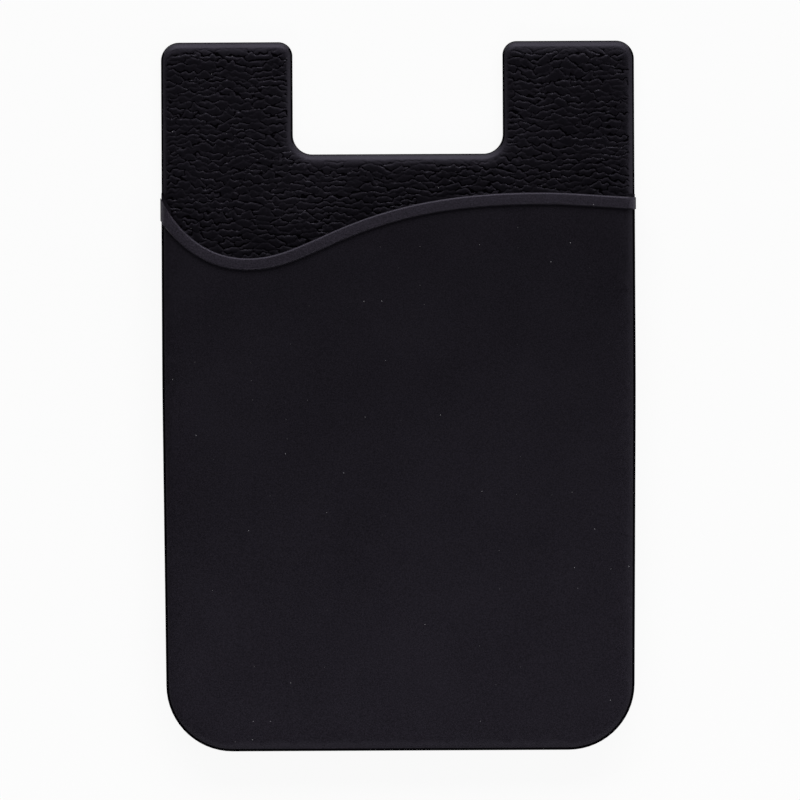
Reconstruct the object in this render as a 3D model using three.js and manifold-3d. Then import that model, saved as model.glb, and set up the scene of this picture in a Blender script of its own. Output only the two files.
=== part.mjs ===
import * as THREE from "three";
import { mergeVertices } from "three/addons/utils/BufferGeometryUtils.js";
import Module from "manifold-3d";

// Stick-on phone card holder: one silicone moulding, an adhesive sheet on its back, and the sheet's release liner.
// Millimetres. +X is across the holder, +Y runs towards its two prongs, +Z comes out of the front of the pocket.
// The holder lies on its back. The origin is on the surface it lies on, under the middle of its outline.

// Outline of the moulding
const LENGTH = 85.7;
const WIDTH = 57.2; // across the prongs
const WAIST_HEIGHT = 44; // above the foot; the sides are parallel from here to the head
const WAIST_BEND = 800; // radius of the slight bend there
const FOOT_NARROWING = 0.39; // each side leans in by this much on its way from the waist to the foot
const NOTCH_WIDTH = 25.4;
const NOTCH_DEPTH = 13.6;
const FOOT_CORNER = 8.0;
const PRONG_OUTER_CORNER = 2.2;
const PRONG_INNER_CORNER = 1.7;
const NOTCH_CORNER = 2.35;

// Thicknesses, from the back forwards
const LINER_THICKNESS = 0.1;
const ADHESIVE_THICKNESS = 0.2;
const BACK_PANEL_THICKNESS = 1.3;
const POCKET_GAP = 1.0; // takes a card 0.76 thick
const FRONT_PANEL_THICKNESS = 1.1;
const LIP_HEIGHT = 0.35; // how far the lip round the mouth stands out of the front panel

// Pocket
const WEB = 1.1; // wall along both sides and the foot, which joins the two panels
const LIP_WIDTH = 1.4;
const LIP_BULGE = 0.12; // how far the lip stands out past the pocket's sides
const WEB_LEAD = 0.4; // how far the side walls reach out of the mouth, ahead of the lip

// Wavy edge of the mouth, which falls to a trough, rises to a crest and runs out level
const MOUTH_LEFT_HEIGHT = 66.65; // heights are above the foot
const TROUGH_HEIGHT = 59.55;
const CREST_HEIGHT = 67.32;
const MOUTH_RIGHT_HEIGHT = 66.7;
const TROUGH_FROM_LEFT = 10.5;
const CREST_FROM_RIGHT = 11.8;
const LEFT_FALL = 61.5; // degrees below level where the edge leaves the left side
const RIGHT_FALL = 3.2; // degrees below level where it reaches the right side
const LEFT_PULL = 6.0; // how far the edge is drawn along its own direction before it bends
const TROUGH_PULL_LEFT = 3.9;
const TROUGH_PULL_RIGHT = 8.0;
const CREST_PULL_LEFT = 22.8;
const CREST_PULL_RIGHT = 4.0;
const RIGHT_PULL = 4.2;

// Edge rounds
const BACK_EDGE_ROUND = 0.25;
const PANEL_EDGE_ROUND = 1.0;
const POCKET_EDGE_ROUND = 1.0;
const LIP_CORNER_ROUND = 1.2; // where the lip turns down the pocket's sides
const LIP_EDGE_ROUND = 0.25;

// Adhesive sheet and its liner, centred across the back
const ADHESIVE_WIDTH = 48;
const ADHESIVE_LENGTH = 60;
const ADHESIVE_CORNER = 4;
const ADHESIVE_ABOVE_FOOT = 6.5;
const LINER_OVERHANG = 0.8;
const TAB_WIDTH = 12;
const TAB_LENGTH = 3.2; // past the liner's edge, towards the foot
const TAB_CORNER = 1.8;
const TAB_ROOT_CORNER = 1.2;

// Smoothness
const CORNER_STEPS = 6;
const FOOT_CORNER_STEPS = 12;
const WAIST_BEND_STEPS = 2;
const ROUND_STEPS = 4;
const MOUTH_BEND_STEPS = 20;

// Planes and lines that follow from the sizes
const head = LENGTH / 2;
const foot = -head;
const halfWidth = WIDTH / 2;
const footHalfWidth = halfWidth - FOOT_NARROWING;
const waist = foot + WAIST_HEIGHT;
const backPlane = LINER_THICKNESS + ADHESIVE_THICKNESS;
const panelTop = backPlane + BACK_PANEL_THICKNESS;
const gapTop = panelTop + POCKET_GAP;
const pocketTop = gapTop + FRONT_PANEL_THICKNESS;
const lipTop = pocketTop + LIP_HEIGHT;
const CLEAR_PAST = 5; // how far a cutting shape reaches past what it cuts

const wasm = await Module();
wasm.setup();

// A closed outline through corners listed anticlockwise, each rounded to its own radius.
// Every point keeps its outward normal, so the outline can be grown or shrunk evenly.
function roundedOutline(corners) {
  return corners.flatMap((corner, i) => {
    const before = corners[(i + corners.length - 1) % corners.length];
    const after = corners[(i + 1) % corners.length];
    const here = new THREE.Vector2(corner.x, corner.y);
    const arriving = here.clone().sub(before).normalize();
    const leaving = new THREE.Vector2(after.x, after.y).sub(here).normalize();
    const turn = Math.atan2(arriving.cross(leaving), arriving.dot(leaving));
    const side = Math.sign(turn);
    const firstNormal = new THREE.Vector2(arriving.y, -arriving.x);
    const centre = here
      .clone()
      .addScaledVector(arriving, -corner.radius * Math.tan(Math.abs(turn) / 2))
      .addScaledVector(firstNormal, -side * corner.radius);
    const points = [];
    for (let step = 0; step <= corner.steps; step += 1) {
      const angle = (turn * step) / corner.steps;
      const normal = firstNormal.clone().rotateAround(new THREE.Vector2(), angle);
      points.push({ point: centre.clone().addScaledVector(normal, side * corner.radius), normal });
    }
    return points;
  });
}

function grown(outline, distance) {
  return outline.map(({ point, normal }) => ({
    point: point.clone().addScaledVector(normal, distance),
    normal,
  }));
}

// Levels of a quarter round, as the inset from the side and the depth below the face
function quarterRound(radius) {
  const steps = radius > 0 ? ROUND_STEPS : 0;
  const levels = [];
  for (let step = 0; step <= steps; step += 1) {
    const angle = steps ? ((Math.PI / 2) * step) / steps : 0;
    levels.push({ inset: radius * (1 - Math.cos(angle)), depth: radius * (1 - Math.sin(angle)) });
  }
  return levels;
}

// A closed slab on an outline, with a quarter round along its back and its front edge
function slab(outline, back, front, backRound = 0, frontRound = 0) {
  const limitedFront = Math.min(frontRound, front - back - backRound);
  const backLevels = quarterRound(backRound).map(({ inset, depth }) => ({ inset, z: back + depth }));
  const frontLevels = quarterRound(limitedFront).map(({ inset, depth }) => ({ inset, z: front - depth }));
  const levels = [...backLevels.reverse(), ...frontLevels];
  const rings = levels.map(({ inset }) => grown(outline, -inset).map(({ point }) => point));
  const count = outline.length;
  const positions = rings.flatMap((ring, level) => ring.flatMap(({ x, y }) => [x, y, levels[level].z]));
  const faces = [];
  for (let level = 0; level + 1 < rings.length; level += 1) {
    for (let i = 0; i < count; i += 1) {
      const a = level * count + i;
      const b = level * count + ((i + 1) % count);
      faces.push(a, b, b + count, a, b + count, a + count);
    }
  }
  for (const [a, b, c] of THREE.ShapeUtils.triangulateShape(rings[0], [])) {
    faces.push(a, c, b);
  }
  const lastRing = (rings.length - 1) * count;
  for (const [a, b, c] of THREE.ShapeUtils.triangulateShape(rings[rings.length - 1], [])) {
    faces.push(lastRing + a, lastRing + b, lastRing + c);
  }
  const geometry = new THREE.BufferGeometry();
  geometry.setAttribute("position", new THREE.Float32BufferAttribute(positions, 3));
  geometry.setIndex(faces);
  return geometry;
}

// Solids that can be joined and cut, and the way back to a geometry
function toSolid(geometry) {
  const merged = mergeVertices(geometry);
  return new wasm.Manifold(
    new wasm.Mesh({
      numProp: 3,
      vertProperties: new Float32Array(merged.attributes.position.array),
      triVerts: new Uint32Array(merged.index.array),
    }),
  );
}

function toGeometry(made) {
  const { vertProperties, triVerts } = made.getMesh();
  const indexed = new THREE.BufferGeometry();
  indexed.setAttribute("position", new THREE.BufferAttribute(vertProperties, 3));
  indexed.setIndex(new THREE.BufferAttribute(triVerts, 1));
  const geometry = indexed.toNonIndexed();
  geometry.computeVertexNormals();
  return geometry;
}

// Outline of the back panel, with the thumb notch between its prongs
function panelOutline() {
  const notchHalf = NOTCH_WIDTH / 2;
  const notchFloor = head - NOTCH_DEPTH;
  const footCorner = { radius: FOOT_CORNER, steps: FOOT_CORNER_STEPS };
  const waistBend = { radius: WAIST_BEND, steps: WAIST_BEND_STEPS };
  const outerCorner = { radius: PRONG_OUTER_CORNER, steps: CORNER_STEPS };
  const innerCorner = { radius: PRONG_INNER_CORNER, steps: CORNER_STEPS };
  const notchCorner = { radius: NOTCH_CORNER, steps: CORNER_STEPS };
  return roundedOutline([
    { x: -footHalfWidth, y: foot, ...footCorner },
    { x: footHalfWidth, y: foot, ...footCorner },
    { x: halfWidth, y: waist, ...waistBend },
    { x: halfWidth, y: head, ...outerCorner },
    { x: notchHalf, y: head, ...innerCorner },
    { x: notchHalf, y: notchFloor, ...notchCorner },
    { x: -notchHalf, y: notchFloor, ...notchCorner },
    { x: -notchHalf, y: head, ...innerCorner },
    { x: -halfWidth, y: head, ...outerCorner },
    { x: -halfWidth, y: waist, ...waistBend },
  ]);
}

// Outline of the pocket, run on to the head, before its mouth is cut
function pocketOutline() {
  const footCorner = { radius: FOOT_CORNER, steps: FOOT_CORNER_STEPS };
  const waistBend = { radius: WAIST_BEND, steps: WAIST_BEND_STEPS };
  const headCorner = { radius: PRONG_OUTER_CORNER, steps: CORNER_STEPS };
  return roundedOutline([
    { x: -footHalfWidth, y: foot, ...footCorner },
    { x: footHalfWidth, y: foot, ...footCorner },
    { x: halfWidth, y: waist, ...waistBend },
    { x: halfWidth, y: head, ...headCorner },
    { x: -halfWidth, y: head, ...headCorner },
    { x: -halfWidth, y: waist, ...waistBend },
  ]);
}

function heading(degreesBelowLevel) {
  const angle = THREE.MathUtils.degToRad(degreesBelowLevel);
  return new THREE.Vector2(Math.cos(angle), -Math.sin(angle));
}

// The mouth's wavy edge from left to right, run straight on past both sides of the holder.
// Each point's normal looks out of the mouth.
function mouthEdge() {
  const ends = [
    { x: -halfWidth, height: MOUTH_LEFT_HEIGHT, fall: LEFT_FALL, pullRight: LEFT_PULL },
    {
      x: -halfWidth + TROUGH_FROM_LEFT,
      height: TROUGH_HEIGHT,
      fall: 0,
      pullLeft: TROUGH_PULL_LEFT,
      pullRight: TROUGH_PULL_RIGHT,
    },
    {
      x: halfWidth - CREST_FROM_RIGHT,
      height: CREST_HEIGHT,
      fall: 0,
      pullLeft: CREST_PULL_LEFT,
      pullRight: CREST_PULL_RIGHT,
    },
    { x: halfWidth, height: MOUTH_RIGHT_HEIGHT, fall: RIGHT_FALL, pullLeft: RIGHT_PULL },
  ].map((end) => ({ ...end, point: new THREE.Vector2(end.x, foot + end.height) }));

  const path = new THREE.CurvePath();
  for (let i = 0; i + 1 < ends.length; i += 1) {
    const from = ends[i];
    const to = ends[i + 1];
    const leave = from.point.clone().addScaledVector(heading(from.fall), from.pullRight);
    const arrive = to.point.clone().addScaledVector(heading(to.fall), -to.pullLeft);
    path.add(new THREE.CubicBezierCurve(from.point, leave, arrive, to.point));
  }
  const first = ends[0];
  const last = ends[ends.length - 1];
  const points = [
    first.point.clone().addScaledVector(heading(first.fall), -CLEAR_PAST),
    ...path.getPoints(MOUTH_BEND_STEPS),
    last.point.clone().addScaledVector(heading(last.fall), CLEAR_PAST),
  ];
  return points.map((point, i) => {
    const before = points[Math.max(i - 1, 0)];
    const after = points[Math.min(i + 1, points.length - 1)];
    const along = after.clone().sub(before).normalize();
    return { point, normal: new THREE.Vector2(-along.y, along.x) };
  });
}

// Everything on the foot's side of the mouth's edge, once the edge is moved out of the mouth by a distance
function belowMouth(distance) {
  const edge = grown(mouthEdge(), distance).map(({ point }) => point);
  const left = edge[0].x;
  const right = edge[edge.length - 1].x;
  const shape = new THREE.Shape([
    new THREE.Vector2(left, foot - CLEAR_PAST),
    new THREE.Vector2(right, foot - CLEAR_PAST),
    ...edge.reverse(),
  ]);
  return toSolid(
    new THREE.ExtrudeGeometry(shape, { depth: lipTop + CLEAR_PAST, bevelEnabled: false })
      .deleteAttribute("normal")
      .deleteAttribute("uv"),
  );
}

// The band along the mouth's edge that the lip is cut from
function lipBand() {
  const upper = mouthEdge();
  const lower = grown(upper, -LIP_WIDTH).map(({ point, normal }) => ({ point, normal: normal.clone().negate() }));
  return toSolid(slab([...lower, ...upper.reverse()], backPlane, lipTop, 0, LIP_EDGE_ROUND));
}

// The raised lip, which runs along the mouth and turns down both sides of the pocket
function lip() {
  const envelope = slab(grown(pocketOutline(), LIP_BULGE), backPlane, lipTop, BACK_EDGE_ROUND, LIP_CORNER_ROUND);
  return toSolid(envelope).intersect(lipBand());
}

// The space that a card slides into, run out past the mouth
function cardSpace(top) {
  return toSolid(slab(grown(pocketOutline(), -WEB), panelTop, top));
}

// The ends of the two side walls, which lead the lip out of the mouth
function webEnds() {
  return toSolid(slab(pocketOutline(), backPlane, gapTop, BACK_EDGE_ROUND, 0))
    .intersect(belowMouth(WEB_LEAD))
    .subtract(cardSpace(lipTop));
}

function holderBody() {
  const backPanel = toSolid(slab(panelOutline(), backPlane, panelTop, BACK_EDGE_ROUND, PANEL_EDGE_ROUND));
  const pocket = toSolid(slab(pocketOutline(), backPlane, pocketTop, BACK_EDGE_ROUND, POCKET_EDGE_ROUND));
  return backPanel
    .add(pocket.intersect(belowMouth(0)))
    .add(lip())
    .subtract(cardSpace(gapTop))
    .add(webEnds());
}

function adhesiveSheet() {
  const half = ADHESIVE_WIDTH / 2;
  const low = foot + ADHESIVE_ABOVE_FOOT;
  const corner = { radius: ADHESIVE_CORNER, steps: CORNER_STEPS };
  const outline = roundedOutline([
    { x: -half, y: low, ...corner },
    { x: half, y: low, ...corner },
    { x: half, y: low + ADHESIVE_LENGTH, ...corner },
    { x: -half, y: low + ADHESIVE_LENGTH, ...corner },
  ]);
  return slab(outline, LINER_THICKNESS, backPlane);
}

// The liner overhangs the adhesive all round and has a pull tab at the foot
function releaseLiner() {
  const half = ADHESIVE_WIDTH / 2 + LINER_OVERHANG;
  const low = foot + ADHESIVE_ABOVE_FOOT - LINER_OVERHANG;
  const high = foot + ADHESIVE_ABOVE_FOOT + ADHESIVE_LENGTH + LINER_OVERHANG;
  const corner = { radius: ADHESIVE_CORNER + LINER_OVERHANG, steps: CORNER_STEPS };
  const tabCorner = { radius: TAB_CORNER, steps: CORNER_STEPS };
  const rootCorner = { radius: TAB_ROOT_CORNER, steps: CORNER_STEPS };
  const outline = roundedOutline([
    { x: -half, y: low, ...corner },
    { x: -TAB_WIDTH / 2, y: low, ...rootCorner },
    { x: -TAB_WIDTH / 2, y: low - TAB_LENGTH, ...tabCorner },
    { x: TAB_WIDTH / 2, y: low - TAB_LENGTH, ...tabCorner },
    { x: TAB_WIDTH / 2, y: low, ...rootCorner },
    { x: half, y: low, ...corner },
    { x: half, y: high, ...corner },
    { x: -half, y: high, ...corner },
  ]);
  return slab(outline, 0, LINER_THICKNESS);
}

function named(name, geometry, color, roughness) {
  const mesh = new THREE.Mesh(geometry, new THREE.MeshStandardMaterial({ color, roughness, metalness: 0 }));
  mesh.name = name;
  return mesh;
}

const holder = new THREE.Group();
holder.add(
  named("holder_body", toGeometry(holderBody()), "#1d1b1f", 0.6),
  named("adhesive_sheet", adhesiveSheet(), "#d9d5c8", 0.35),
  named("release_liner", releaseLiner(), "#efeee8", 0.7),
);

export default holder;
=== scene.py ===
import math

import bpy
import numpy as np
from mathutils import Matrix, Vector
from mathutils.geometry import delaunay_2d_cdt
from mathutils.kdtree import KDTree

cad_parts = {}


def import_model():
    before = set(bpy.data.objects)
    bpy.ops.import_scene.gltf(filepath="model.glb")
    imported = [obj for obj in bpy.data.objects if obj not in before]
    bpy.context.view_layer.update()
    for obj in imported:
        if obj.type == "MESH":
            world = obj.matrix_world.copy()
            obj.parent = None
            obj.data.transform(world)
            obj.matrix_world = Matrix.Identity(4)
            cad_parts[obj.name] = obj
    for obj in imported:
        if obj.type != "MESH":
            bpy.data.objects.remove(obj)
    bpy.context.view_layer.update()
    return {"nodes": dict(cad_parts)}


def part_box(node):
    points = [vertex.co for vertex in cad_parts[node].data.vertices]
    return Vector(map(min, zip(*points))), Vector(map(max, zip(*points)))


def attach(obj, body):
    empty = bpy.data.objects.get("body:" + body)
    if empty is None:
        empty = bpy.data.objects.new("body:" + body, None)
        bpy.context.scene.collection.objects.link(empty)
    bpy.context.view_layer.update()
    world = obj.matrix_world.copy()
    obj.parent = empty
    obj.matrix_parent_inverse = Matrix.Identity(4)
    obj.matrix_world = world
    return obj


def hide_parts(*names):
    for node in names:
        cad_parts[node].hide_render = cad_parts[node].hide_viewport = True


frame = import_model()

# Lengths are millimetres, as in the part's drawing, until a finished mesh is scaled to metres.
METRE = 1000.0

# Sizes read from the frame
body_low, body_high = (np.array(corner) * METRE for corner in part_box("holder_body"))
LENGTH = body_high[1] - body_low[1]
BACK_PLANE = body_low[2]
LIP_TOP = body_high[2]

# Outline of the moulding
WIDTH = 57.2
FOOT_NARROWING = 0.39
WAIST_HEIGHT = 44.0
WAIST_BEND = 800.0
NOTCH_WIDTH = 25.4
NOTCH_DEPTH = 13.6
FOOT_CORNER = 8.0
PRONG_OUTER_CORNER = 2.2
PRONG_INNER_CORNER = 1.7
NOTCH_CORNER = 2.35

# Thicknesses and walls
LIP_HEIGHT = 0.35
FRONT_PANEL_THICKNESS = 1.1
POCKET_GAP = 1.0
WEB = 1.1
LIP_WIDTH = 1.4
LIP_BULGE = 0.12
WEB_LEAD = 0.4

# Wavy edge of the mouth: heights above the foot, places along the width, and the pull of each bend
MOUTH_LEFT_HEIGHT = 66.65
TROUGH_HEIGHT = 59.55
CREST_HEIGHT = 67.32
MOUTH_RIGHT_HEIGHT = 66.7
TROUGH_FROM_LEFT = 10.5
CREST_FROM_RIGHT = 11.8
LEFT_FALL = 61.5
RIGHT_FALL = 3.2
LEFT_PULL = 6.0
TROUGH_PULL_LEFT = 3.9
TROUGH_PULL_RIGHT = 8.0
CREST_PULL_LEFT = 22.8
CREST_PULL_RIGHT = 4.0
RIGHT_PULL = 4.2

# Edge rounds
BACK_EDGE_ROUND = 0.25
PANEL_EDGE_ROUND = 0.75
POCKET_EDGE_ROUND = 1.0
LIP_CORNER_ROUND = 1.2
LIP_EDGE_ROUND = 0.25
LIP_FOOT_FILLET = 0.08
LIP_ROOT = 0.05
LIP_ROOT_DEPTH = 0.3
POCKET_SHOULDER = 0.13
PANEL_SHOULDER = 0.28
SHOULDER_WIDTH = 2.4

# Slight unevenness of the pocket's front
UNEVENNESS = 0.006
UNEVEN_WAVE = 22.0
UNEVEN_MARGIN = 0.6
UNEVEN_FULL = 3.0
UNEVEN_SEED = 21

# Leather grain of the back panel
PEBBLE_LENGTH = 1.7
PEBBLE_HEIGHT = 0.86
PEBBLE_COLUMN = 2.15
PEBBLE_ROW = 0.64
PEBBLE_SCATTER_X = 0.62
PEBBLE_SCATTER_Y = 0.23
PEBBLE_WEIGHT = 0.14
PEBBLE_ARCH = 1.5
PEBBLE_CROWN = 0.04
GROOVE_DEPTH = 0.062
GROOVE_HALF_WIDTH = 0.095
GROOVE_LEAN = 0.45
# Painted shade in the creases: its half width, its lean to the head's side, and the mark that gives faces
# the crease zone
CREASE_SHADE_HALF_WIDTH = 0.082
CREASE_SHADE_LEAN = 0.6
CREASE_SHADE_EDGE = 0.5
# Painted highlight on each pebble's rim that faces the head: its offset from the groove and its half width
RIM_HIGHLIGHT_OFFSET = 0.1
RIM_HIGHLIGHT_HALF_WIDTH = 0.06
GRAIN_MARGIN = 0.35
GRAIN_FULL = 0.85
HEAD_MARGIN = 0.35
HEAD_FULL = 1.6
GRAIN_SEED = 7

# How the grain's lattice is bent across and along: (amount, wavelength, seed) of each set of waves
GRAIN_WANDER_X = ((0.15, 4.5, 11), (0.10, 1.1, 12))
GRAIN_WANDER_Y = ((0.16, 6.0, 13), (0.085, 0.9, 14))

# Grooves are strongest between pebbles of unlike level and where they run across the holder
LEVEL_STEP = 0.35
STEP_BASE = 0.45
STEP_GAIN = 0.55
ACROSS_BASE = 0.5
ACROSS_GAIN = 0.5
GROOVE_SHARPNESS = 1.7
NEAR_PEBBLES = 10
NEIGHBOURS = 6

# How far in from the sides the rounded edges hand over to the worked faces
FACE_INSET = 0.4

# Mesh spacing
GRAIN_STEP_X = 0.10
GRAIN_STEP_Y = 0.07
SMOOTH_EVERY = 3
SPARE_ROWS = 4
SPARE_COLUMNS = 2
GRAIN_INSIDE_MOUTH = 0.8
GRAIN_FADE = 0.6
GRAIN_BELOW_TROUGH = 2.0
MARK_SHOWS = 0.2
HIDDEN_STEP = 4.0
HIDDEN_BELOW_MOUTH = 2.0
LIP_FOOT_STEPS = (0.12, 0.25, 0.4, 0.6, 0.8, 1.0, 1.3, 1.7)
FRONT_EDGE_STEPS = (0.5, 0.6, 0.75, 0.9, 1.2, 1.6, 2.0)
FRONT_STEP = 1.5
EDGE_STEP = 0.3
ARC_STEP = math.radians(6)
ROUND_STEPS = 8
BEND_STEPS = 48
PANEL_RING_CLEARANCE = 0.04
POCKET_RING_CLEARANCE = 0.05
SAME_PLACE = 0.001
WELD = 1e-7

HEAD = LENGTH / 2
FOOT = -HEAD
HALF_WIDTH = WIDTH / 2
FOOT_HALF_WIDTH = HALF_WIDTH - FOOT_NARROWING
POCKET_TOP = LIP_TOP - LIP_HEIGHT
GAP_TOP = POCKET_TOP - FRONT_PANEL_THICKNESS
PANEL_TOP = GAP_TOP - POCKET_GAP
CLEAR_PAST = 5.0
CUT_INTO_PANEL = 0.3
FLOOR_OF_CUT = PANEL_TOP - CUT_INTO_PANEL

# Zones of the moulding, each with its own mould finish, and the steepest face that keeps it; steeper faces
# go to the wall zone, whose near-black finish without reflection is painted shade, as is the crease zone's
ZONES = ("shaded_wall", "front", "lip", "panel", "crease_shade")
SHADED_WALL, FRONT, LIP, PANEL, SHADED_CREASE = range(len(ZONES))
SHADED_WALL_TILT = math.radians(50)
HEAD_SHADED_WALL_TILT = math.radians(62)
LIP_SHADED_WALL_TILT = math.radians(72)
HEAD_FACING = 0.5
SHARP_ANGLE = math.radians(35)

# Silicone: one black for the whole moulding, and each zone's (colour, roughness, specular level)
SILICONE_IOR = 1.41
SHEEN_TINT = (0.83, 0.77, 1.0)
FINISHES = {
    # Painted shade: the steep sides' near-black finish without reflection
    "shaded_wall": ((0.0025, 0.0022, 0.0030), 0.70, 0.0),
    "front": ((0.0104, 0.0090, 0.0127), 0.50, 0.22),
    "lip": ((0.0211, 0.0180, 0.0256), 0.52, 0.50),
    "panel": ((0.0085, 0.0071, 0.0106), 0.54, 0.45),
    # Painted shade in the grain's creases
    "crease_shade": ((0.0030, 0.0025, 0.0036), 0.70, 0.0),
}
GRAIN_COLOR = (0.0020, 0.0015, 0.0028)
# Painted shade of the creases
GROOVE_SHADE_COLOR = (0.0019, 0.0015, 0.0024)
# Painted highlight of the pebbles' rims that face the head
RIM_HIGHLIGHT_COLOR = (0.0140, 0.0119, 0.0170)
GRAIN_ROUGHNESS = 0.395
# How strong the crease mark is where its painted shade starts and where it is full
GROOVE_SHADE_SHOWS = 0.1
GROOVE_SHADE_FULL = 0.7

# Painted shade and sheen along the holder: its colour's share at the head and at the foot, and where the
# head's share is reached
HEAD_SHADE = 0.76
FOOT_SHADE = 1.36
SHADE_END = 15.0

# Fine mould texture, mottling and dust
FINE_TEXTURE = 0.17
FINE_DETAIL = 2.0
FINE_CONTRAST = {"shaded_wall": 0.4, "front": 0.42, "lip": 0.7, "panel": 0.5, "crease_shade": 0.4}
FINE_HEIGHT = 0.01
MOTTLE = 9.0
MOTTLE_DETAIL = 3.0
MOTTLE_CONTRAST = 0.065
GLOSS_UNEVENNESS = 0.03
DUST = (0.5, 0.49, 0.52)
DUST_SPACING = 2.3
DUST_RADIUS = 0.05
DUST_SHARE = 0.36
DUST_FAINTNESS = 7.0

# Noise patterns spend most of their range between these
NOISE_LOW = 0.3
NOISE_HIGH = 0.7

# Liner paper and adhesive film: darkest and lightest tone as shares of the colour, and range of roughness
LINER_COLOR = (0.83, 0.82, 0.78)
LINER_TONES = (0.95, 1.03)
LINER_ROUGHNESS = (0.42, 0.56)
LINER_FIBRE = 0.9
LINER_FIBRE_DETAIL = 5.0
LINER_FIBRE_STRETCH = (1, 0.35, 1)
LINER_RELIEF = 0.015
ADHESIVE_COLOR = (0.72, 0.70, 0.62)
ADHESIVE_TONES = (0.94, 1.04)
ADHESIVE_ROUGHNESS = (0.34, 0.46)
ADHESIVE_CLOUD = 2.5
ADHESIVE_CLOUD_DETAIL = 3.0
ADHESIVE_RELIEF = 0.01

# Light, with each lamp's (place in metres, size in metres, power in watts), and view
WORLD_LEVEL = 0.04
LAMPS = {
    "head_lamp": ((0, 0.8, 0.42), (1.2, 0.4), 10),
    "left_lamp": ((-0.8, 0, 0.4), (0.4, 0.9), 0.1),
    "right_lamp": ((0.8, 0, 0.4), (0.4, 0.9), 1.7),
    "foot_lamp": ((0, -0.2, 0.13), (0.4, 0.08), 0.25),
}
FLOOR_COLOR = (0.9, 0.9, 0.9)
FLOOR_GLOW = 0.92
FLOOR_HALF = 2000.0
FLOOR_DROP = 0.03
CAMERA_DISTANCE = 1500.0
VIEW_WIDTH = 96.7
VIEW_X = 0.11
VIEW_Y = -0.50
VIEW_ROLL = math.radians(-0.28)
VIEW_REACH = 20000.0
SENSOR_WIDTH = 36.0


def rounded_outline(corners, step):
    """Points and outward normals of a closed outline through corners listed anticlockwise, each rounded."""
    points, normals = [], []
    for i, (x, y, radius) in enumerate(corners):
        here = np.array((x, y))
        before = np.array(corners[i - 1][:2])
        after = np.array(corners[(i + 1) % len(corners)][:2])
        arriving = (here - before) / np.linalg.norm(here - before)
        leaving = (after - here) / np.linalg.norm(after - here)
        turn = math.atan2(arriving[0] * leaving[1] - arriving[1] * leaving[0], arriving @ leaving)
        side = math.copysign(1, turn)
        first = np.array((arriving[1], -arriving[0]))
        centre = here - arriving * radius * math.tan(abs(turn) / 2) - first * side * radius
        count = max(2, round(abs(turn) / ARC_STEP))
        for angle in np.linspace(0, turn, count + 1):
            cos, sin = math.cos(angle), math.sin(angle)
            normal = np.array((cos * first[0] - sin * first[1], sin * first[0] + cos * first[1]))
            points.append(centre + normal * side * radius)
            normals.append(normal)
    return divide_sides(np.array(points), np.array(normals), step)


def divide_sides(points, normals, step):
    """The same outline with its long straight sides divided into steps."""
    divided, divided_normals = [], []
    for i in range(len(points)):
        a, b = points[i], points[(i + 1) % len(points)]
        parts = max(1, math.ceil(np.linalg.norm(b - a) / step))
        same = np.allclose(normals[i], normals[(i + 1) % len(points)])
        for part in range(parts if same else 1):
            divided.append(a + (b - a) * part / parts)
            divided_normals.append(normals[i])
    return np.array(divided), np.array(divided_normals)


def grown(outline, distance):
    points, normals = outline
    return points + normals * distance, normals


def quarter_round(radius, reach=1.0):
    """(inset, depth, tilt) of a round from its upright side to its face, or to a share of the inset."""
    last = math.acos(1 - reach)
    angles = np.linspace(0, last, ROUND_STEPS + 1) if radius else [math.pi / 2]
    return [(radius * (1 - math.cos(a)), radius * (1 - math.sin(a)), math.pi / 2 - a) for a in angles]


def fill(ring, inner):
    """Triangles over a closed ring and the points inside it, as indices into ring then inner."""
    points = [Vector(p) for p in np.vstack([ring, inner])] if len(inner) else [Vector(p) for p in ring]
    edges = [(i, (i + 1) % len(ring)) for i in range(len(ring))]
    _, _, faces, origin, _, _ = delaunay_2d_cdt(points, edges, [], 1, WELD)
    return [[origin[i][0] for i in face] for face in faces]


def add_object(name, vertices, faces, zones):
    mesh = bpy.data.meshes.new(name)
    mesh.from_pydata(vertices.tolist(), [], faces)
    mesh.polygons.foreach_set("material_index", zones)
    mesh.update()
    made = bpy.data.objects.new(name, mesh)
    bpy.context.scene.collection.objects.link(made)
    return made


def slab(name, outline, back, front, back_round=0.0, front_round=0.0, zone=SHADED_WALL, face=None, reach=1.0,
         shaded_wall_tilt=SHADED_WALL_TILT):
    """A closed slab on an outline with rounded edges, and a worked front as face: (points, heights)."""
    levels = [(inset, back + depth, math.pi) for inset, depth, _ in quarter_round(back_round)][::-1]
    levels += [(inset, front - depth, tilt) for inset, depth, tilt in quarter_round(front_round, reach)]
    rings = [grown(outline, -inset)[0] for inset, _, _ in levels]
    count = len(rings[0])
    # Sides facing the head keep the face's finish to a steeper tilt; steeper faces get the wall's painted
    # shade
    head_facing = outline[1][:, 1] > HEAD_FACING
    limits = np.where(head_facing, max(shaded_wall_tilt, HEAD_SHADED_WALL_TILT), shaded_wall_tilt)
    vertices = [np.column_stack([ring, np.full(count, level[1])]) for ring, level in zip(rings, levels)]
    faces, zones = [], []
    for level in range(len(levels) - 1):
        low = level * count
        for i in range(count):
            j = (i + 1) % count
            faces.append((low + i, low + j, low + count + j, low + count + i))
        zones += np.where(levels[level][2] < limits, zone, SHADED_WALL).tolist()
    bottom = [tri[::-1] for tri in fill(rings[0], [])]
    faces += bottom
    zones += [SHADED_WALL] * len(bottom)
    last = (len(levels) - 1) * count
    inner, heights = face if face else ([], [])
    if len(inner):
        vertices.append(np.column_stack([inner, heights]))
    cap = [[last + i for i in tri] for tri in fill(rings[-1], inner)]
    faces += cap
    zones += [zone] * len(cap)
    return add_object(name, np.vstack(vertices), faces, zones)


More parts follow.
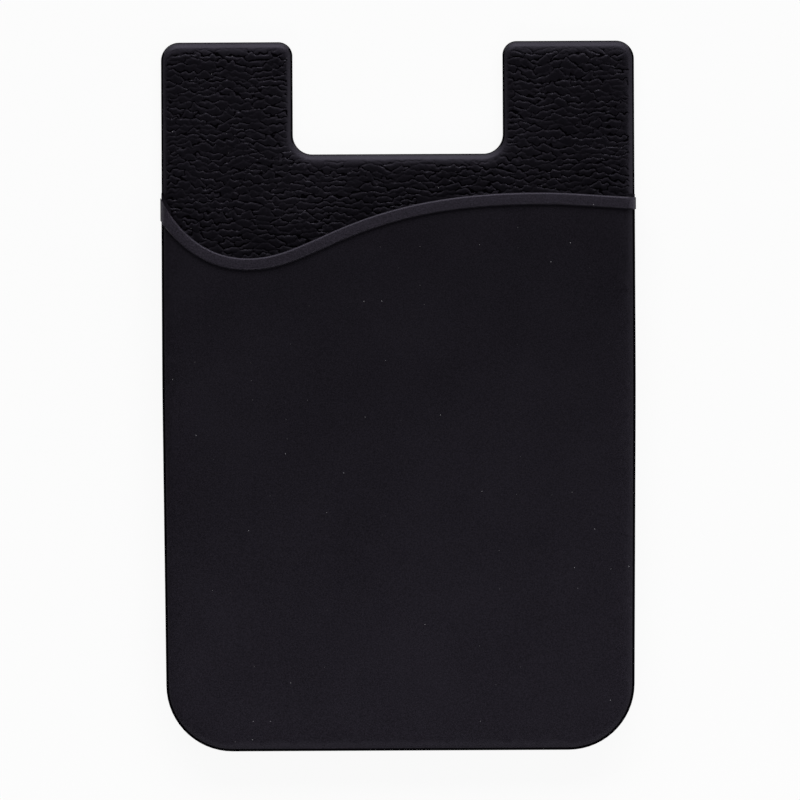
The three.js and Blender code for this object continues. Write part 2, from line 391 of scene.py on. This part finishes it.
def combine(target, tool, operation):
    """Joins tool to target, cuts it out, or keeps what they share. The tool is used up."""
    modifier = target.modifiers.new("combine", "BOOLEAN")
    modifier.object = tool
    modifier.operation = operation
    modifier.solver = "MANIFOLD"
    evaluated = target.evaluated_get(bpy.context.evaluated_depsgraph_get())
    result = bpy.data.meshes.new_from_object(evaluated)
    target.modifiers.clear()
    target.data = result
    bpy.data.objects.remove(tool)
    return target


def panel_outline(step=EDGE_STEP):
    notch_half = NOTCH_WIDTH / 2
    notch_floor = HEAD - NOTCH_DEPTH
    corners = [
        (-FOOT_HALF_WIDTH, FOOT, FOOT_CORNER),
        (FOOT_HALF_WIDTH, FOOT, FOOT_CORNER),
        (HALF_WIDTH, FOOT + WAIST_HEIGHT, WAIST_BEND),
        (HALF_WIDTH, HEAD, PRONG_OUTER_CORNER),
        (notch_half, HEAD, PRONG_INNER_CORNER),
        (notch_half, notch_floor, NOTCH_CORNER),
        (-notch_half, notch_floor, NOTCH_CORNER),
        (-notch_half, HEAD, PRONG_INNER_CORNER),
        (-HALF_WIDTH, HEAD, PRONG_OUTER_CORNER),
        (-HALF_WIDTH, FOOT + WAIST_HEIGHT, WAIST_BEND),
    ]
    return rounded_outline(corners, step)


def pocket_outline():
    corners = [
        (-FOOT_HALF_WIDTH, FOOT, FOOT_CORNER),
        (FOOT_HALF_WIDTH, FOOT, FOOT_CORNER),
        (HALF_WIDTH, FOOT + WAIST_HEIGHT, WAIST_BEND),
        (HALF_WIDTH, HEAD, PRONG_OUTER_CORNER),
        (-HALF_WIDTH, HEAD, PRONG_OUTER_CORNER),
        (-HALF_WIDTH, FOOT + WAIST_HEIGHT, WAIST_BEND),
    ]
    return rounded_outline(corners, HIDDEN_STEP)


def heading(fall):
    return np.array((math.cos(math.radians(fall)), -math.sin(math.radians(fall))))


def bezier(p0, p1, p2, p3):
    t = np.linspace(0, 1, BEND_STEPS + 1)[:, None]
    return (1 - t) ** 3 * p0 + 3 * (1 - t) ** 2 * t * p1 + 3 * (1 - t) * t**2 * p2 + t**3 * p3


def mouth_edge():
    """Points of the mouth's edge from left to right, run on past both sides, and normals out of it."""
    left = np.array((-HALF_WIDTH, FOOT + MOUTH_LEFT_HEIGHT))
    trough = np.array((-HALF_WIDTH + TROUGH_FROM_LEFT, FOOT + TROUGH_HEIGHT))
    crest = np.array((HALF_WIDTH - CREST_FROM_RIGHT, FOOT + CREST_HEIGHT))
    right = np.array((HALF_WIDTH, FOOT + MOUTH_RIGHT_HEIGHT))
    level = heading(0)
    falls = heading(LEFT_FALL)
    runs_out = heading(RIGHT_FALL)
    points = np.vstack([
        left - falls * CLEAR_PAST,
        bezier(left, left + falls * LEFT_PULL, trough - level * TROUGH_PULL_LEFT, trough),
        bezier(trough, trough + level * TROUGH_PULL_RIGHT, crest - level * CREST_PULL_LEFT, crest)[1:],
        bezier(crest, crest + level * CREST_PULL_RIGHT, right - runs_out * RIGHT_PULL, right)[1:],
        right + runs_out * CLEAR_PAST,
    ])
    along = np.gradient(points, axis=0)
    along /= np.linalg.norm(along, axis=1)[:, None]
    return points, np.column_stack([-along[:, 1], along[:, 0]])


MOUTH = mouth_edge()


def above_mouth(points):
    """How far each point lies above the mouth's edge, straight up the holder."""
    return points[:, 1] - np.interp(points[:, 0], MOUTH[0][:, 0], MOUTH[0][:, 1])


def below_mouth(distance):
    edge = grown(MOUTH, distance)[0]
    ring = np.vstack([[edge[0, 0], FOOT - CLEAR_PAST], [edge[-1, 0], FOOT - CLEAR_PAST], edge[::-1]])
    return slab("below_mouth", (ring, np.zeros_like(ring)), BACK_PLANE - CLEAR_PAST, LIP_TOP + CLEAR_PAST)


def lip_profile():
    """(distance below the mouth's edge, height) round a section of the lip, anticlockwise."""
    rounded = quarter_round(LIP_EDGE_ROUND)
    outer = [(inset, LIP_TOP - depth) for inset, depth, _ in rounded]
    inner = [(LIP_WIDTH - inset, LIP_TOP - depth) for inset, depth, _ in rounded[::-1]]
    fillet = [
        (LIP_WIDTH + inset, POCKET_TOP + depth) for inset, depth, _ in quarter_round(LIP_FOOT_FILLET)
    ]
    root = [(LIP_WIDTH + LIP_FOOT_FILLET, POCKET_TOP - LIP_ROOT), (LIP_WIDTH, POCKET_TOP - LIP_ROOT_DEPTH)]
    foot = [(LIP_WIDTH, BACK_PLANE), (0.0, BACK_PLANE)]
    return np.array(outer + inner + fillet + root + foot)


def lip():
    """The raised lip along the mouth, with a small fillet where it meets the front panel."""
    profile = lip_profile()
    points, normals = MOUTH
    count = len(profile)
    vertices = np.vstack([
        np.column_stack([point - normal * profile[:, :1], profile[:, 1]])
        for point, normal in zip(points, normals)
    ])
    lit = 2 * (ROUND_STEPS + 1) - 1
    faces, zones = [], []
    for station in range(len(points) - 1):
        low = station * count
        for i in range(count):
            j = (i + 1) % count
            faces.append((low + i, low + j, low + count + j, low + count + i))
            zones.append(LIP if i < lit else FRONT)
    ends = [[count - 1 - i for i in tri] for tri in fill(profile[::-1], [])]
    last = (len(points) - 1) * count
    faces += ends
    faces += [[last + i for i in tri[::-1]] for tri in ends]
    zones += [SHADED_WALL] * 2 * len(ends)
    band = add_object("lip_band", vertices, faces, zones)
    envelope = slab(
        "lip", grown(pocket_outline(), LIP_BULGE), BACK_PLANE, LIP_TOP, BACK_EDGE_ROUND, LIP_CORNER_ROUND,
        zone=LIP, shaded_wall_tilt=LIP_SHADED_WALL_TILT,
    )
    return combine(envelope, band, "INTERSECT")


def card_space(bottom, top):
    return slab("card_space", grown(pocket_outline(), -WEB), bottom, top)


def web_ends():
    ends = slab("web_ends", pocket_outline(), BACK_PLANE, GAP_TOP, BACK_EDGE_ROUND, zone=FRONT)
    combine(ends, below_mouth(WEB_LEAD), "INTERSECT")
    return combine(ends, card_space(FLOOR_OF_CUT, LIP_TOP), "DIFFERENCE")


def plane_waves(points, wavelength, seed, count=28):
    """Smooth noise of unit spread: a sum of plane waves with random headings."""
    rng = np.random.default_rng(seed)
    angles = rng.uniform(0, 2 * math.pi, count)
    waves = 2 * math.pi / (wavelength * rng.uniform(0.7, 1.5, count))
    phases = rng.uniform(0, 2 * math.pi, count)
    total = np.zeros(len(points))
    for angle, wave, phase in zip(angles, waves, phases):
        total += np.cos(wave * (points[:, 0] * math.cos(angle) + points[:, 1] * math.sin(angle)) + phase)
    return total * math.sqrt(2 / count)


def smoothstep(low, high, value):
    t = np.clip((value - low) / (high - low), 0, 1)
    return t * t * (3 - 2 * t)


def distance_to(points, starts, ends):
    """Distance from each point to the nearest of some straight pieces."""
    best = np.full(len(points), np.inf)
    for a, b in zip(starts, ends):
        side = b - a
        share = np.clip((points - a) @ side / (side @ side), 0, 1)
        gap = points - a - share[:, None] * side
        best = np.minimum(best, np.einsum("ij,ij->i", gap, gap))
    return np.sqrt(best)


def inside(points, ring):
    """Whether each point lies inside a closed ring."""
    within = np.zeros(len(points), bool)
    for a, b in zip(ring, np.roll(ring, -1, axis=0)):
        crosses = (a[1] > points[:, 1]) != (b[1] > points[:, 1])
        if a[1] != b[1]:
            x = a[0] + (points[:, 1] - a[1]) * (b[0] - a[0]) / (b[1] - a[1])
            within ^= crosses & (points[:, 0] < x)
    return within


def wander(points, waves):
    """How far points are shifted by sets of waves, each (amount, wavelength, seed)."""
    return sum(amount * plane_waves(points, wavelength, seed) for amount, wavelength, seed in waves)


def search_tree(places):
    tree = KDTree(len(places))
    for i, place in enumerate(places.tolist()):
        tree.insert(place, i)
    tree.balance()
    return tree


def pebble_centres(low, high):
    """Scattered centres of the pebbles over an area: a staggered lattice, shaken."""
    rng = np.random.default_rng(GRAIN_SEED)
    rows = int((high[1] - low[1]) / PEBBLE_ROW) + 2 * SPARE_ROWS + 1
    columns = int((high[0] - low[0]) / PEBBLE_COLUMN) + 2 * SPARE_COLUMNS + 1
    row, column = np.mgrid[0:rows, 0:columns]
    x = low[0] + (column - SPARE_COLUMNS + row % 2 / 2) * PEBBLE_COLUMN
    y = low[1] + (row - SPARE_ROWS) * PEBBLE_ROW
    x = x + rng.uniform(-PEBBLE_SCATTER_X, PEBBLE_SCATTER_X, x.shape)
    y = y + rng.uniform(-PEBBLE_SCATTER_Y, PEBBLE_SCATTER_Y, y.shape)
    return np.column_stack([x.ravel(), y.ravel()])


def grooves(points):
    """How deep each point lies in the grooves between the pebbles, how dark the painted crease shade is
    there, and how light the painted highlight on the pebbles' rims, each 0 to 1.

    A groove's wall towards the foot slopes gently. Its painted crease shade lies under the pebble on the
    head's side, and the painted rim highlight on the edge of the pebble on the foot's side, which faces the
    head.
    """
    squeeze = np.array((PEBBLE_HEIGHT / PEBBLE_LENGTH, 1.0))
    bend = np.column_stack([wander(points, GRAIN_WANDER_X), wander(points, GRAIN_WANDER_Y)])
    places = (points + bend) * squeeze
    centres = pebble_centres(points.min(0), points.max(0)) * squeeze
    rng = np.random.default_rng(GRAIN_SEED + 1)
    level = rng.random(len(centres))
    tree = search_tree(np.column_stack([centres, np.zeros(len(centres))]))
    found = [tree.find_n((x, y, 0), NEAR_PEBBLES) for x, y in places.tolist()]
    near = np.array([[index for _, index, _ in pebbles] for pebbles in found])
    offset = places[:, None] - centres[near]
    stretch = np.where(offset[..., 1] > 0, 1.0, PEBBLE_ARCH)
    spread = np.hypot(offset[..., 0], offset[..., 1] * stretch)
    weight = np.exp(PEBBLE_WEIGHT * rng.uniform(-1, 1, len(centres)))[near]
    distance = spread / weight
    rise = offset / (spread * weight)[..., None]
    rise[..., 1] *= stretch**2
    order = np.argsort(distance, axis=1)
    distance = np.take_along_axis(distance, order, 1)
    rise = np.take_along_axis(rise, order[..., None], 1)
    steps = np.take_along_axis(level[near], order, 1)
    depth = PEBBLE_CROWN * distance[:, 0] ** 2 / (PEBBLE_HEIGHT / 2) ** 2
    crease_shade = np.zeros(len(points))
    rim_highlight = np.zeros(len(points))
    for other in range(1, NEIGHBOURS + 1):
        slope = (rise[:, other] - rise[:, 0]) * squeeze
        steepness = np.linalg.norm(slope, axis=1)
        reach = (distance[:, other] - distance[:, 0]) / steepness
        upward = -slope[:, 1] / steepness
        step = smoothstep(0.0, LEVEL_STEP, np.abs(steps[:, other] - steps[:, 0]))
        strength = (STEP_BASE + STEP_GAIN * step) * (ACROSS_BASE + ACROSS_GAIN * np.abs(upward))
        half_width = GROOVE_HALF_WIDTH * (1 + GROOVE_LEAN * upward)
        depth = np.maximum(depth, strength * np.exp(-((reach / half_width) ** GROOVE_SHARPNESS)))
        # Painted shade in the crease, under the pebble on the head's side
        half_width = CREASE_SHADE_HALF_WIDTH * (1 - CREASE_SHADE_LEAN * upward)
        crease_shade = np.maximum(crease_shade, strength * np.exp(-((reach / half_width) ** 2)))
        # Painted highlight on the rim of the pebble on the foot's side, where it faces the head
        across_rim_highlight = (reach - RIM_HIGHLIGHT_OFFSET) / RIM_HIGHLIGHT_HALF_WIDTH
        rim_highlight = np.maximum(rim_highlight, strength * np.clip(upward, 0, 1) * np.exp(-(across_rim_highlight**2)))
    return depth, crease_shade, rim_highlight


def staggered_grid(low, high, step_x, step_y):
    """Points over an area in rows, with every other row shifted by half a step."""
    rows = np.arange(low[1], high[1], step_y)
    columns = np.arange(low[0], high[0], step_x)
    x, y = np.meshgrid(columns, rows)
    x = x + (np.arange(len(rows)) % 2 * step_x / 2)[:, None]
    return np.column_stack([x.ravel(), y.ravel()])


def panel_points(ring):
    """Points over the back panel's front with their groove mark, painted crease shade and painted rim
    highlight, closest in the grooves.
    """
    low, high = ring.min(0), ring.max(0)
    grain_low = (low[0], FOOT + TROUGH_HEIGHT - GRAIN_BELOW_TROUGH)
    fine = staggered_grid(grain_low, high, GRAIN_STEP_X, GRAIN_STEP_Y)
    fine = fine[(above_mouth(fine) > -GRAIN_INSIDE_MOUTH - GRAIN_FADE) & inside(fine, ring)]
    marks = grooves(fine)
    row = np.rint(fine[:, 1] / GRAIN_STEP_Y)
    column = np.rint(fine[:, 0] / GRAIN_STEP_X)
    sparse = (row % SMOOTH_EVERY == 0) & (column % SMOOTH_EVERY == 0)
    keep = (np.array(marks) > MARK_SHOWS).any(0) | sparse
    hidden = staggered_grid(low, high, HIDDEN_STEP, HIDDEN_STEP)
    hidden = hidden[(above_mouth(hidden) < -HIDDEN_BELOW_MOUTH) & inside(hidden, ring)]
    plain = np.zeros(len(hidden))
    marks = [np.concatenate([values[keep], plain]) for values in marks]
    return np.vstack([fine[keep], hidden]), *marks


def grained_face():
    """Points of the back panel's front with their heights, and their marks for the material by name."""
    plain_ring, plain_normals = panel_outline(HIDDEN_STEP)
    starts, ends = plain_ring, np.roll(plain_ring, -1, axis=0)
    points, depth, crease_shade, rim_highlight = panel_points(panel_outline()[0])
    inset = distance_to(points, starts, ends)
    head_facing = (plain_normals[:, 1] > HEAD_FACING) & (plain_ring[:, 1] > 0)
    head_inset = distance_to(points, starts[head_facing], ends[head_facing])
    keep = inset > FACE_INSET + PANEL_RING_CLEARANCE
    points, depth, crease_shade, rim_highlight = (values[keep] for values in (points, depth, crease_shade, rim_highlight))
    inset, head_inset = inset[keep], head_inset[keep]
    heights = PANEL_TOP - PANEL_EDGE_ROUND + rounded_rise(inset, PANEL_EDGE_ROUND)
    heights -= shoulder(inset, PANEL_SHOULDER)
    fade = smoothstep(GRAIN_MARGIN, GRAIN_FULL, inset) * smoothstep(HEAD_MARGIN, HEAD_FULL, head_inset)
    fade = fade * smoothstep(-GRAIN_INSIDE_MOUTH - GRAIN_FADE, -GRAIN_INSIDE_MOUTH, above_mouth(points))
    # The crease mark is painted shade, the rim mark a painted highlight
    marks = {"grain": fade, "groove_shade": crease_shade * fade, "rim_highlight": rim_highlight * fade}
    return points, heights - GROOVE_DEPTH * depth * fade, marks


def rounded_rise(inset, radius):
    """Height of a rounded edge above the round's foot, at a distance in from the side."""
    shortfall = np.clip(radius - inset, 0, radius)
    return np.sqrt(radius**2 - shortfall**2)


def shoulder(inset, drop):
    """How far a face has sunk towards its rounded edge, at a distance in from the side."""
    return drop * (1 - np.clip((inset - FACE_INSET) / SHOULDER_WIDTH, 0, 1)) ** 3


def back_panel(points, heights):
    return slab(
        "back_panel", panel_outline(), BACK_PLANE, PANEL_TOP - PANEL_SHOULDER,
        BACK_EDGE_ROUND, PANEL_EDGE_ROUND, zone=PANEL, face=(points, heights),
        reach=FACE_INSET / PANEL_EDGE_ROUND,
    )


def mark_grain(body, points, heights, marks):
    """Keeps the marks of the back panel's front on the body's vertices, for its material."""
    tree = search_tree(np.column_stack([points, heights]))
    found = [tree.find(vertex.co)[1:] for vertex in body.data.vertices]
    nearest, distance = (np.array(column) for column in zip(*found))
    for name, values in marks.items():
        attribute = body.data.attributes.new(name, "FLOAT", "POINT")
        marked = np.where(distance < SAME_PLACE, values[nearest], 0)
        attribute.data.foreach_set("value", marked.astype(np.float32))


def paint_crease_shade(body):
    """Gives the faces deep in a crease the crease zone's near-black finish without reflection, as painted
    shade.
    """
    faces = body.data.polygons
    corners = whole_numbers(body.data.loops, "vertex_index")
    starts = whole_numbers(faces, "loop_start")
    counts = whole_numbers(faces, "loop_total")
    zones = whole_numbers(faces, "material_index")
    groove_shade = np.zeros(len(body.data.vertices), np.float32)
    body.data.attributes["groove_shade"].data.foreach_get("value", groove_shade)
    deep = np.add.reduceat(groove_shade[corners], starts) / counts > CREASE_SHADE_EDGE
    faces.foreach_set("material_index", np.where(deep, SHADED_CREASE, zones).astype(np.int32))


def whole_numbers(items, name):
    """One whole number of every item of a mesh."""
    values = np.zeros(len(items), np.int32)
    items.foreach_get(name, values)
    return values


def pocket():
    """The pocket's outside, up to the mouth's edge, with a slightly uneven front as soft mouldings have."""
    outline = pocket_outline()
    ring = outline[0]
    points = [staggered_grid(ring.min(0), ring.max(0), FRONT_STEP, FRONT_STEP)]
    points += [grown(outline, -inset)[0] for inset in FRONT_EDGE_STEPS]
    points += [grown(MOUTH, -LIP_WIDTH - gap)[0] for gap in LIP_FOOT_STEPS]
    points = np.vstack(points)
    points = points[inside(points, ring)]
    inset = distance_to(points, ring, np.roll(ring, -1, axis=0))
    keep = inset > FACE_INSET + POCKET_RING_CLEARANCE
    points, inset = points[keep], inset[keep]
    heights = POCKET_TOP - POCKET_EDGE_ROUND + rounded_rise(inset, POCKET_EDGE_ROUND)
    heights -= shoulder(inset, POCKET_SHOULDER)
    uneven = UNEVENNESS * plane_waves(points, UNEVEN_WAVE, UNEVEN_SEED)
    heights += uneven * smoothstep(UNEVEN_MARGIN, UNEVEN_FULL, inset)
    block = slab(
        "pocket", outline, BACK_PLANE, POCKET_TOP - POCKET_SHOULDER,
        BACK_EDGE_ROUND, POCKET_EDGE_ROUND, zone=FRONT, face=(points, heights),
        reach=FACE_INSET / POCKET_EDGE_ROUND,
    )
    return combine(block, below_mouth(0), "INTERSECT")


def moulding():
    """The whole silicone moulding as one closed mesh."""
    body = pocket()
    combine(body, lip(), "UNION")
    combine(body, card_space(FLOOR_OF_CUT, GAP_TOP), "DIFFERENCE")
    combine(body, web_ends(), "UNION")
    points, heights, marks = grained_face()
    combine(body, back_panel(points, heights), "UNION")
    mark_grain(body, points, heights, marks)
    body.name = "silicone_holder"
    paint_crease_shade(body)
    body.data.transform(Matrix.Scale(1 / METRE, 4))
    body.data.shade_smooth()
    body.data.set_sharp_from_angle(angle=SHARP_ANGLE)
    return body


def new_material(name, color, roughness, specular=0.5):
    """A material with its Principled shader, and the nodes and links to add to it."""
    material = bpy.data.materials.new(name)
    material.use_nodes = True
    tree = material.node_tree
    shader = tree.nodes["Principled BSDF"]
    shader.inputs["Base Color"].default_value = (*color, 1)
    shader.inputs["Roughness"].default_value = roughness
    shader.inputs["Specular IOR Level"].default_value = specular
    return material, tree.nodes, tree.links, shader


def object_coordinates(nodes):
    return nodes.new("ShaderNodeTexCoord").outputs["Object"]


def noise(nodes, links, grain, detail, stretch=(1, 1, 1)):
    """A noise pattern whose patches are about grain millimetres across."""
    mapping = nodes.new("ShaderNodeMapping")
    mapping.inputs["Scale"].default_value = stretch
    links.new(object_coordinates(nodes), mapping.inputs["Vector"])
    texture = nodes.new("ShaderNodeTexNoise")
    texture.inputs["Scale"].default_value = METRE / grain
    texture.inputs["Detail"].default_value = detail
    links.new(mapping.outputs["Vector"], texture.inputs["Vector"])
    return texture.outputs["Fac"]


def remap(nodes, links, value, low, high, to_low, to_high):
    ranged = nodes.new("ShaderNodeMapRange")
    for socket, number in zip(("From Min", "From Max", "To Min", "To Max"), (low, high, to_low, to_high)):
        ranged.inputs[socket].default_value = number
    links.new(value, ranged.inputs["Value"])
    return ranged.outputs["Result"]


def arithmetic(nodes, links, operation, first, second):
    node = nodes.new("ShaderNodeMath")
    node.operation = operation
    for socket, value in zip(node.inputs, (first, second)):
        if isinstance(value, (int, float)):
            socket.default_value = value
        else:
            links.new(value, socket)
    return node.outputs["Value"]


def blend(nodes, links, factor, first, second):
    """Mixes two colours, each a colour or a socket, by a factor socket."""
    node = nodes.new("ShaderNodeMix")
    node.data_type = "RGBA"
    links.new(factor, node.inputs["Factor"])
    for socket, value in ((node.inputs["A"], first), (node.inputs["B"], second)):
        if isinstance(value, tuple):
            socket.default_value = (*value, 1)
        else:
            links.new(value, socket)
    return node.outputs["Result"]


def bump(nodes, links, shader, height, distance):
    node = nodes.new("ShaderNodeBump")
    node.inputs["Strength"].default_value = 1.0
    node.inputs["Distance"].default_value = distance / METRE
    links.new(height, node.inputs["Height"])
    links.new(node.outputs["Normal"], shader.inputs["Normal"])


def specks(nodes, links, spacing, radius, share):
    """Sparse round specks, each of its own strength from 0 to 1, and 0 elsewhere."""
    texture = nodes.new("ShaderNodeTexVoronoi")
    texture.voronoi_dimensions = "2D"
    texture.inputs["Scale"].default_value = METRE / spacing
    links.new(object_coordinates(nodes), texture.inputs["Vector"])
    near = remap(nodes, links, texture.outputs["Distance"], 0.5 * radius / spacing, radius / spacing, 1, 0)
    pick = nodes.new("ShaderNodeSeparateColor")
    links.new(texture.outputs["Color"], pick.inputs["Color"])
    chosen = arithmetic(nodes, links, "LESS_THAN", pick.outputs["Red"], share)
    strength = arithmetic(nodes, links, "POWER", pick.outputs["Green"], DUST_FAINTNESS)
    return arithmetic(nodes, links, "MULTIPLY", arithmetic(nodes, links, "MULTIPLY", near, chosen), strength)


def mark(nodes, name):
    node = nodes.new("ShaderNodeAttribute")
    node.attribute_name = name
    return node.outputs["Fac"]


def silicone(name, color, roughness, specular, contrast):
    """Black silicone with a fine mould texture, faint mottling and a little dust, darker in the grain, with
    painted shade in the creases, painted highlights on the rims that face the head, and painted shade that
    darkens it towards the head.
    """
    material, nodes, links, shader = new_material(name, color, roughness, specular)
    shader.inputs["IOR"].default_value = SILICONE_IOR
    shader.inputs["Specular Tint"].default_value = (*SHEEN_TINT, 1)
    fine = noise(nodes, links, FINE_TEXTURE, FINE_DETAIL)
    broad = noise(nodes, links, MOTTLE, MOTTLE_DETAIL)
    fine_shade = remap(nodes, links, fine, NOISE_LOW, NOISE_HIGH, -contrast, contrast)
    broad_shade = remap(nodes, links, broad, NOISE_LOW, NOISE_HIGH, 1 - MOTTLE_CONTRAST, 1 + MOTTLE_CONTRAST)
    shade = arithmetic(nodes, links, "ADD", fine_shade, broad_shade)
    tone = blend(nodes, links, mark(nodes, "grain"), color, GRAIN_COLOR)
    # Painted shade in the grain's creases
    crease_shade = remap(nodes, links, mark(nodes, "groove_shade"), GROOVE_SHADE_SHOWS, GROOVE_SHADE_FULL, 0, 1)
    # Painted highlight on the pebbles' rims that face the head
    tone = blend(nodes, links, mark(nodes, "rim_highlight"), tone, RIM_HIGHLIGHT_COLOR)
    tone = blend(nodes, links, crease_shade, tone, GROOVE_SHADE_COLOR)
    place = nodes.new("ShaderNodeSeparateXYZ")
    links.new(object_coordinates(nodes), place.inputs[0])
    # Painted shade and sheen: lighter at the foot, darker towards the head
    along = remap(nodes, links, place.outputs["Y"], FOOT / METRE, SHADE_END / METRE, FOOT_SHADE, HEAD_SHADE)
    shade = arithmetic(nodes, links, "MULTIPLY", shade, along)
    scaled = nodes.new("ShaderNodeVectorMath")
    scaled.operation = "SCALE"
    links.new(tone, scaled.inputs[0])
    links.new(shade, scaled.inputs["Scale"])
    dust = specks(nodes, links, DUST_SPACING, DUST_RADIUS, DUST_SHARE)
    links.new(blend(nodes, links, dust, scaled.outputs[0], DUST), shader.inputs["Base Color"])
    gloss = remap(nodes, links, mark(nodes, "grain"), 0, 1, roughness, GRAIN_ROUGHNESS)
    uneven = remap(nodes, links, broad, NOISE_LOW, NOISE_HIGH, -GLOSS_UNEVENNESS, GLOSS_UNEVENNESS)
    links.new(arithmetic(nodes, links, "ADD", gloss, uneven), shader.inputs["Roughness"])
    bump(nodes, links, shader, fine, FINE_HEIGHT)
    return material


def sheet_material(name, color, pattern_size, detail, stretch, tones, roughness, relief):
    """A pale sheet whose tone, roughness and relief follow one noise pattern."""
    material, nodes, links, shader = new_material(name, color, roughness[0])
    pattern = noise(nodes, links, pattern_size, detail, stretch)
    dark, light = (tuple(min(1.0, channel * tone) for channel in color) for tone in tones)
    share = remap(nodes, links, pattern, NOISE_LOW, NOISE_HIGH, 0, 1)
    links.new(blend(nodes, links, share, dark, light), shader.inputs["Base Color"])
    links.new(remap(nodes, links, pattern, NOISE_LOW, NOISE_HIGH, *roughness), shader.inputs["Roughness"])
    bump(nodes, links, shader, pattern, relief)
    return material


def paper():
    """Coated off-white release paper with faint fibres."""
    return sheet_material(
        "liner_paper", LINER_COLOR, LINER_FIBRE, LINER_FIBRE_DETAIL, LINER_FIBRE_STRETCH,
        LINER_TONES, LINER_ROUGHNESS, LINER_RELIEF,
    )


def adhesive():
    """Pale milky adhesive film."""
    return sheet_material(
        "adhesive_film", ADHESIVE_COLOR, ADHESIVE_CLOUD, ADHESIVE_CLOUD_DETAIL, (1, 1, 1),
        ADHESIVE_TONES, ADHESIVE_ROUGHNESS, ADHESIVE_RELIEF,
    )


def area_lamp(name, place, size, power):
    lamp = bpy.data.lights.new(name, "AREA")
    lamp.shape = "RECTANGLE"
    lamp.size, lamp.size_y = size
    lamp.energy = power
    made = bpy.data.objects.new(name, lamp)
    made.location = place
    made.rotation_euler = (-Vector(place)).to_track_quat("-Z", "Y").to_euler()
    made.visible_camera = False
    bpy.context.scene.collection.objects.link(made)


def floor():
    """A white floor that keeps a faint shadow of the holder."""
    mesh = bpy.data.meshes.new("floor")
    half = FLOOR_HALF / METRE
    level = -FLOOR_DROP / METRE
    corners = [(-half, -half, level), (half, -half, level), (half, half, level), (-half, half, level)]
    mesh.from_pydata(corners, [], [(0, 1, 2, 3)])
    made = bpy.data.objects.new("floor", mesh)
    bpy.context.scene.collection.objects.link(made)
    material = bpy.data.materials.new("white_floor")
    material.use_nodes = True
    nodes, links = material.node_tree.nodes, material.node_tree.links
    nodes.clear()
    diffuse = nodes.new("ShaderNodeBsdfDiffuse")
    diffuse.inputs["Color"].default_value = (*FLOOR_COLOR, 1)
    path = nodes.new("ShaderNodeLightPath")
    seen = arithmetic(nodes, links, "MAXIMUM", path.outputs["Is Camera Ray"], path.outputs["Is Glossy Ray"])
    seen = arithmetic(nodes, links, "MAXIMUM", seen, path.outputs["Is Transmission Ray"])
    mix = nodes.new("ShaderNodeMixShader")
    links.new(arithmetic(nodes, links, "MULTIPLY", seen, FLOOR_GLOW), mix.inputs["Fac"])
    links.new(diffuse.outputs[0], mix.inputs[1])
    links.new(nodes.new("ShaderNodeEmission").outputs[0], mix.inputs[2])
    links.new(mix.outputs[0], nodes.new("ShaderNodeOutputMaterial").inputs["Surface"])
    mesh.materials.append(material)


def world():
    made = bpy.data.worlds.new("studio")
    bpy.context.scene.world = made
    made.use_nodes = True
    background = made.node_tree.nodes["Background"]
    background.inputs["Color"].default_value = (1, 1, 1, 1)
    background.inputs["Strength"].default_value = WORLD_LEVEL


def camera():
    data = bpy.data.cameras.new("camera")
    data.sensor_width = SENSOR_WIDTH
    data.lens = SENSOR_WIDTH * CAMERA_DISTANCE / VIEW_WIDTH
    data.clip_end = VIEW_REACH / METRE
    made = bpy.data.objects.new("camera", data)
    made.location = (VIEW_X / METRE, VIEW_Y / METRE, (CAMERA_DISTANCE + PANEL_TOP) / METRE)
    made.rotation_euler = (0, 0, VIEW_ROLL)
    bpy.context.scene.collection.objects.link(made)
    bpy.context.scene.camera = made


def dress(body):
    """Gives each zone of the moulding its material."""
    zones = whole_numbers(body.data.polygons, "material_index")
    body.data.materials.clear()
    for zone in ZONES:
        body.data.materials.append(silicone("silicone_" + zone, *FINISHES[zone], FINE_CONTRAST[zone]))
    body.data.polygons.foreach_set("material_index", zones)


body = moulding()
dress(body)
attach(body, "root")
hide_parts("holder_body")
for node, material in (("adhesive_sheet", adhesive()), ("release_liner", paper())):
    frame["nodes"][node].data.materials.clear()
    frame["nodes"][node].data.materials.append(material)

floor()
world()
for name, (place, size, power) in LAMPS.items():
    area_lamp(name, place, size, power)
camera()
bpy.context.scene.view_settings.view_transform = "Standard"
